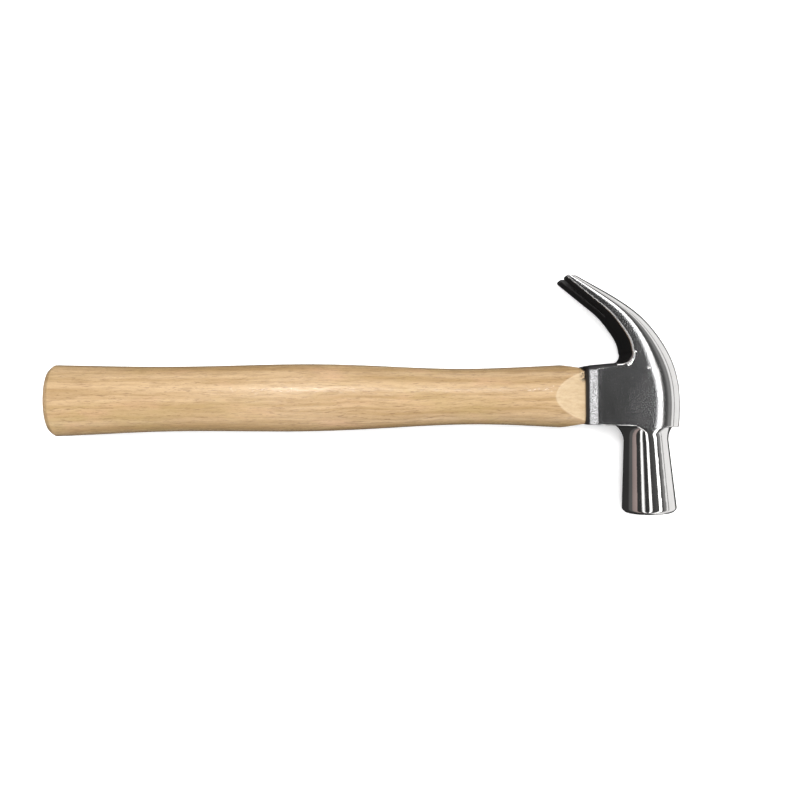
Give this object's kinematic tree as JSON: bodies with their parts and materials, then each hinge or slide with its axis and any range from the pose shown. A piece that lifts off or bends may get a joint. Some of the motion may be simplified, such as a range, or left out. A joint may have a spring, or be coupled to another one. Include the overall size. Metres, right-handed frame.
{
  "type": "claw hammer",
  "caption": "Curved-claw carpenter's hammer: polished steel head with a round poll and split claw, hung on an oval wooden handle with wedges.",
  "frame": {"origin": "Bottom centre of the whole hammer's box as it lies on its side.", "axes": "+X runs along the handle from the butt to the back of the head, +Y from the striking face to the claw, +Z across the hammer, up from the surface it lies on."},
  "size_m": [0.3199, 0.1201, 0.0268],
  "materials": {
    "head_steel": "ground and polished forging",
    "handle_wood": "clear lacquer over straight-grained ash",
    "wedge_wood": "bare hardwood",
    "wedge_steel": "dark rolled steel"
  },
  "bodies": {
    "root": {"head": "head_steel", "handle": "handle_wood", "wood_wedge": "wedge_wood", "steel_wedges": "wedge_steel"}
  },
  "joints": []
}
